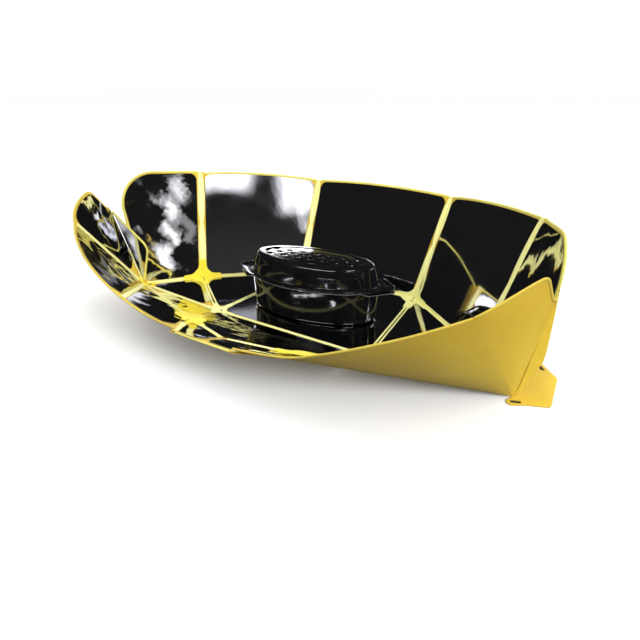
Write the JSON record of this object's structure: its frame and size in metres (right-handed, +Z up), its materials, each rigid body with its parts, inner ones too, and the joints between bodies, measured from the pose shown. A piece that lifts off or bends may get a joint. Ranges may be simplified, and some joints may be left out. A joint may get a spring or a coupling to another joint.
{
  "type": "folding panel solar cooker",
  "caption": "Folding solar cooker: hinged mirror panels on yellow fabric form a shallow bowl around a covered oval enamel pan.",
  "frame": {"origin": "on the ground under the floor sheet, midway between its two side corners", "axes": "+X to the right along the line of the side corners, +Y to the back wall, +Z up"},
  "size_m": [0.9274, 0.6043, 0.2427],
  "materials": {
    "mirror_film": "slightly wavy mirror film on a stiff sheet",
    "yellow_fabric": "coated woven polyester",
    "foot_fabric": "coated woven polyester, doubled",
    "pale_trim": "satin binding tape",
    "rivets": "dull plated",
    "black_enamel": "gloss enamel on thin steel"
  },
  "bodies": {
    "floor": {"back_fold_beads": "pale_trim", "corner_rivets": "rivets", "floor_center_mirror": "mirror_film", "floor_cover": "yellow_fabric", "floor_left_mirrors": "mirror_film", "floor_right_mirrors": "mirror_film", "floor_seam_beads": "pale_trim", "foot_left": "foot_fabric", "foot_right": "foot_fabric", "front_fold_bead": "pale_trim", "gusset_fold_beads": "pale_trim", "side_fold_beads": "pale_trim"},
    "back_wall": {"back_center_cover": "yellow_fabric", "back_center_mirror": "mirror_film", "back_wall_gussets": "pale_trim"},
    "rear_wall_right": {"rear_right_cover": "foot_fabric", "rear_right_mirror": "mirror_film"},
    "side_wall_right": {"side_right_cover": "yellow_fabric", "side_right_mirror": "mirror_film", "side_right_gusset": "pale_trim", "pleat_right_cover": "yellow_fabric", "pleat_right_mirror": "mirror_film"},
    "ear_right": {"ear_right": "foot_fabric"},
    "rear_wall_left": {"rear_left_cover": "foot_fabric", "rear_left_mirror": "mirror_film"},
    "side_wall_left": {"side_left_cover": "yellow_fabric", "side_left_mirror": "mirror_film", "side_left_gusset": "pale_trim", "pleat_left_cover": "yellow_fabric", "pleat_left_mirror": "mirror_film"},
    "ear_left": {"ear_left": "foot_fabric"},
    "lip": {"lip_cover": "yellow_fabric", "lip_center_mirror": "mirror_film", "lip_left_mirror": "mirror_film", "lip_right_mirror": "mirror_film", "lip_beads": "pale_trim"},
    "gusset_right": {"gusset_right_cover": "yellow_fabric", "gusset_right_mirror": "mirror_film", "flap_right_bead": "pale_trim"},
    "flap_right": {"flap_right_cover": "yellow_fabric", "flap_right_mirror": "mirror_film", "wing_right_bead": "pale_trim"},
    "wing_right": {"wing_right_cover": "yellow_fabric", "wing_right_mirror": "mirror_film", "petal_right_bead": "pale_trim"},
    "petal_right": {"petal_right_cover": "yellow_fabric", "petal_right_mirror": "mirror_film"},
    "gusset_left": {"gusset_left_cover": "yellow_fabric", "gusset_left_mirror": "mirror_film", "flap_left_bead": "pale_trim"},
    "flap_left": {"flap_left_cover": "yellow_fabric", "flap_left_mirror": "mirror_film", "wing_left_bead": "pale_trim"},
    "wing_left": {"wing_left_cover": "yellow_fabric", "wing_left_mirror": "mirror_film", "petal_left_bead": "pale_trim"},
    "petal_left": {"petal_left_cover": "yellow_fabric", "petal_left_mirror": "mirror_film"},
    "pan": {"pan": "black_enamel"},
    "lid": {"lid": "black_enamel"}
  },
  "joints": [
    {"name": "back_wall_fold", "type": "hinge", "parent": "floor", "child": "back_wall", "pos_m": [0, 0.256, 0.0048], "axis": [-1, 0, 0], "range_deg": [0, 61.3]},
    {"name": "rear_wall_right_fold", "type": "hinge", "parent": "floor", "child": "rear_wall_right", "pos_m": [0.2345, 0.1785, 0.0048], "axis": [-0.756, 0.6546, 0], "range_deg": [0, 64]},
    {"name": "side_wall_right_fold", "type": "hinge", "parent": "floor", "child": "side_wall_right", "pos_m": [0.366, 0.0505, 0.0048], "axis": [-0.6394, 0.7688, 0], "range_deg": [0, 67.4]},
    {"name": "ear_right_fold", "type": "hinge", "parent": "side_wall_right", "child": "ear_right", "pos_m": [0.42518, 0.00022, 0.09542], "axis": [-0.1573, 0.0217, -0.9873], "range_deg": [0, 99]},
    {"name": "rear_wall_left_fold", "type": "hinge", "parent": "floor", "child": "rear_wall_left", "pos_m": [-0.2345, 0.1785, 0.0048], "axis": [-0.756, -0.6546, 0], "range_deg": [0, 64]},
    {"name": "side_wall_left_fold", "type": "hinge", "parent": "floor", "child": "side_wall_left", "pos_m": [-0.366, 0.0505, 0.0048], "axis": [-0.6394, -0.7688, 0], "range_deg": [0, 67.4]},
    {"name": "ear_left_fold", "type": "hinge", "parent": "side_wall_left", "child": "ear_left", "pos_m": [-0.42518, 0.00022, 0.09542], "axis": [-0.1573, -0.0217, 0.9873], "range_deg": [0, 99]},
    {"name": "front_lip_fold", "type": "hinge", "parent": "floor", "child": "lip", "pos_m": [0, -0.017, 0.0048], "axis": [1, 0, 0], "range_deg": [0, 21.1]},
    {"name": "wing_right_gusset_fold", "type": "hinge", "parent": "floor", "child": "gusset_right", "pos_m": [0.2885, -0.0085, 0.0048], "axis": [0.9975, 0.0709, 0], "range_deg": [0, 21.7]},
    {"name": "wing_right_flap_fold", "type": "hinge", "parent": "gusset_right", "child": "flap_right", "pos_m": [0.2655, -0.067, 0.02737], "axis": [0.8958, 0.4212, -0.1419], "range_deg": [0, 11.32]},
    {"name": "wing_right_lower_fold", "type": "hinge", "parent": "flap_right", "child": "wing_right", "pos_m": [0.2915, -0.112, 0.0588], "axis": [0.6837, 0.6573, -0.3169], "range_deg": [0, 30.04]},
    {"name": "wing_right_petal_fold", "type": "hinge", "parent": "wing_right", "child": "petal_right", "pos_m": [0.3885, -0.079, 0.0988], "axis": [0.1568, 0.6354, -0.7561], "range_deg": [0, 31.06]},
    {"name": "wing_left_gusset_fold", "type": "hinge", "parent": "floor", "child": "gusset_left", "pos_m": [-0.2885, -0.0085, 0.0048], "axis": [0.9975, -0.0709, 0], "range_deg": [0, 21.7]},
    {"name": "wing_left_flap_fold", "type": "hinge", "parent": "gusset_left", "child": "flap_left", "pos_m": [-0.2655, -0.067, 0.02737], "axis": [0.8958, -0.4212, 0.1419], "range_deg": [0, 11.32]},
    {"name": "wing_left_lower_fold", "type": "hinge", "parent": "flap_left", "child": "wing_left", "pos_m": [-0.2915, -0.112, 0.0588], "axis": [0.6837, -0.6573, 0.3169], "range_deg": [0, 30.04]},
    {"name": "wing_left_petal_fold", "type": "hinge", "parent": "wing_left", "child": "petal_left", "pos_m": [-0.3885, -0.079, 0.0988], "axis": [0.1568, -0.6354, 0.7561], "range_deg": [0, 31.06]},
    {"name": "pan_lift", "type": "slide", "parent": "floor", "child": "pan", "axis": [0, 0, 1], "range_m": [0, 0.25]},
    {"name": "lid_lift", "type": "slide", "parent": "pan", "child": "lid", "axis": [0, 0, 1], "range_m": [0, 0.15]}
  ],
  "couplings": [
    {"joint": "rear_wall_right_fold", "follows": "back_wall_fold", "ratio": 1.044},
    {"joint": "side_wall_right_fold", "follows": "back_wall_fold", "ratio": 1.0995},
    {"joint": "ear_right_fold", "follows": "back_wall_fold", "ratio": 1.615},
    {"joint": "rear_wall_left_fold", "follows": "back_wall_fold", "ratio": 1.044},
    {"joint": "side_wall_left_fold", "follows": "back_wall_fold", "ratio": 1.0995},
    {"joint": "ear_left_fold", "follows": "back_wall_fold", "ratio": 1.615},
    {"joint": "wing_right_flap_fold", "follows": "wing_right_gusset_fold", "ratio": 0.52165},
    {"joint": "wing_right_lower_fold", "follows": "wing_right_gusset_fold", "ratio": 1.3843},
    {"joint": "wing_right_petal_fold", "follows": "wing_right_gusset_fold", "ratio": 1.4313},
    {"joint": "wing_left_flap_fold", "follows": "wing_left_gusset_fold", "ratio": 0.52165},
    {"joint": "wing_left_lower_fold", "follows": "wing_left_gusset_fold", "ratio": 1.3843},
    {"joint": "wing_left_petal_fold", "follows": "wing_left_gusset_fold", "ratio": 1.4313}
  ]
}
